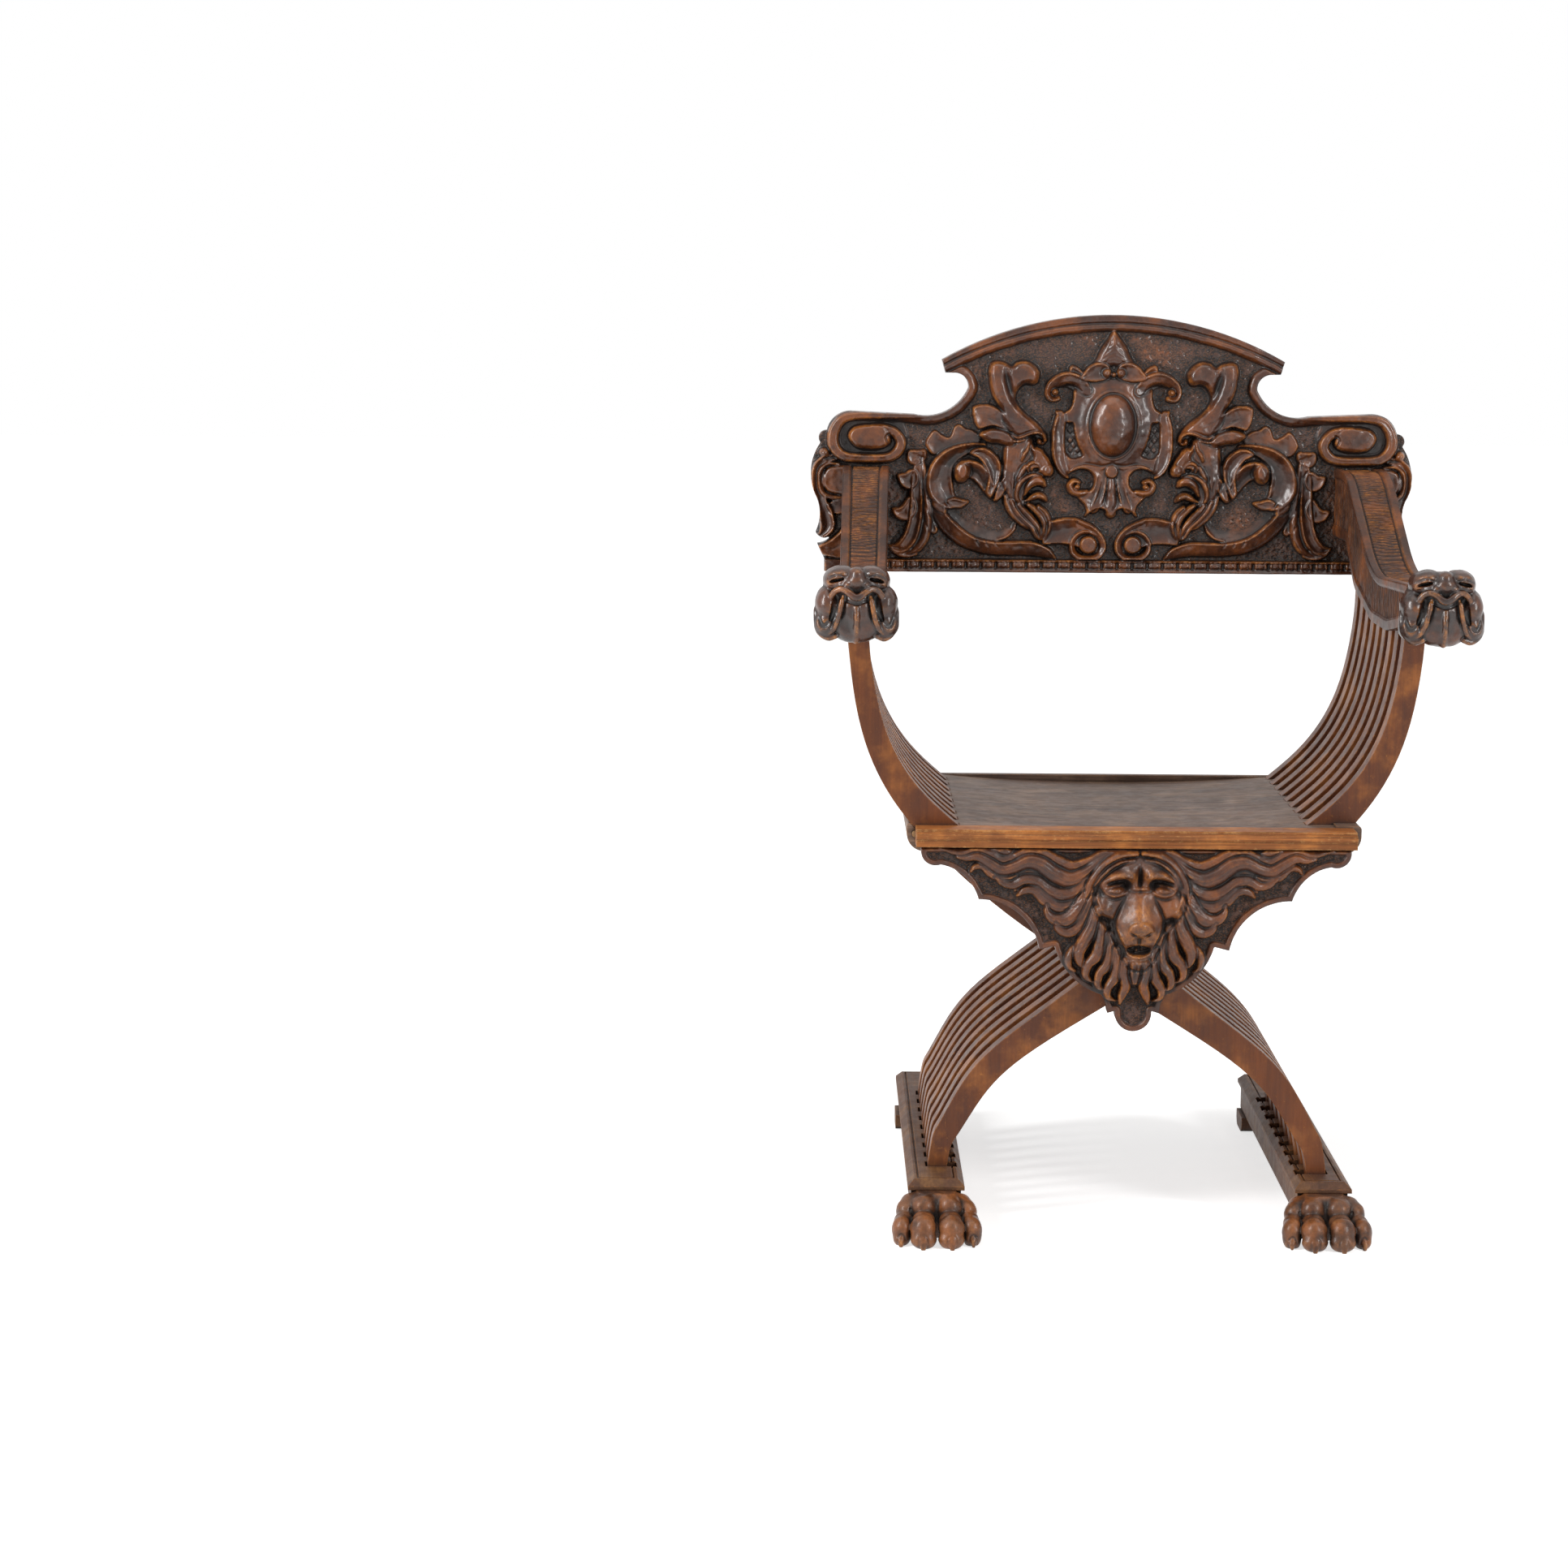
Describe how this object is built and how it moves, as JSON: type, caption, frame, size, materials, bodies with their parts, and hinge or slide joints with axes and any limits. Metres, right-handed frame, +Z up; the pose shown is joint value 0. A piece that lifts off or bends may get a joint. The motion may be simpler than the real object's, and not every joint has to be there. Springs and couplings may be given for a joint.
{
  "type": "savonarola chair",
  "caption": "Carved folding-form armchair with two interlaced groups of bent staves, a carved back, lion apron and paw-footed runners.",
  "frame": {"origin": "on the floor, under the middle of the chair's bounding box", "axes": "+Z up, -Y to the chair's front, +X to the right as seen from the front"},
  "size_m": [0.6842, 0.608, 0.9594],
  "materials": {
    "carved_back": "dark waxed walnut, carved, rubbed on the high points",
    "arm_wood": "dark waxed walnut, carved",
    "mask_wood": "dark waxed walnut, carved and polished by handling",
    "stave_wood": "dark waxed walnut",
    "seat_wood": "dark walnut, worn",
    "apron_wood": "dark waxed walnut, carved",
    "runner_wood": "dark waxed walnut",
    "paw_wood": "dark waxed walnut, carved",
    "peg_wood": "bare hardwood pegs",
    "screw_steel": "plain steel screws"
  },
  "bodies": {
    "root": {"apron_dowels": "peg_wood", "back_panel": "carved_back", "back_screws": "screw_steel", "crossing_rod": "stave_wood", "front_apron": "apron_wood", "left_arm": "arm_wood", "left_arm_mask": "mask_wood", "left_arm_stave_1": "stave_wood", "left_arm_stave_2": "stave_wood", "left_arm_stave_3": "stave_wood", "left_arm_stave_4": "stave_wood", "left_arm_stave_5": "stave_wood", "left_arm_stave_6": "stave_wood", "left_arm_stave_7": "stave_wood", "left_arm_stave_8": "stave_wood", "left_arm_stave_9": "stave_wood", "left_paw": "paw_wood", "left_rear_foot": "runner_wood", "left_runner": "runner_wood", "left_runner_plate": "runner_wood", "mask_dowels": "peg_wood", "paw_dowels": "peg_wood", "rail_dowels": "peg_wood", "right_arm": "arm_wood", "right_arm_mask": "mask_wood", "right_arm_stave_1": "stave_wood", "right_arm_stave_2": "stave_wood", "right_arm_stave_3": "stave_wood", "right_arm_stave_4": "stave_wood", "right_arm_stave_5": "stave_wood", "right_arm_stave_6": "stave_wood", "right_arm_stave_7": "stave_wood", "right_arm_stave_8": "stave_wood", "right_arm_stave_9": "stave_wood", "right_paw": "paw_wood", "right_rear_foot": "runner_wood", "right_runner": "runner_wood", "right_runner_plate": "runner_wood", "rod_caps": "stave_wood", "runner_screws": "screw_steel", "seat_board": "seat_wood", "seat_front_rail": "seat_wood", "seat_left_rail": "seat_wood", "seat_rear_rail": "seat_wood", "seat_right_rail": "seat_wood"}
  },
  "joints": []
}
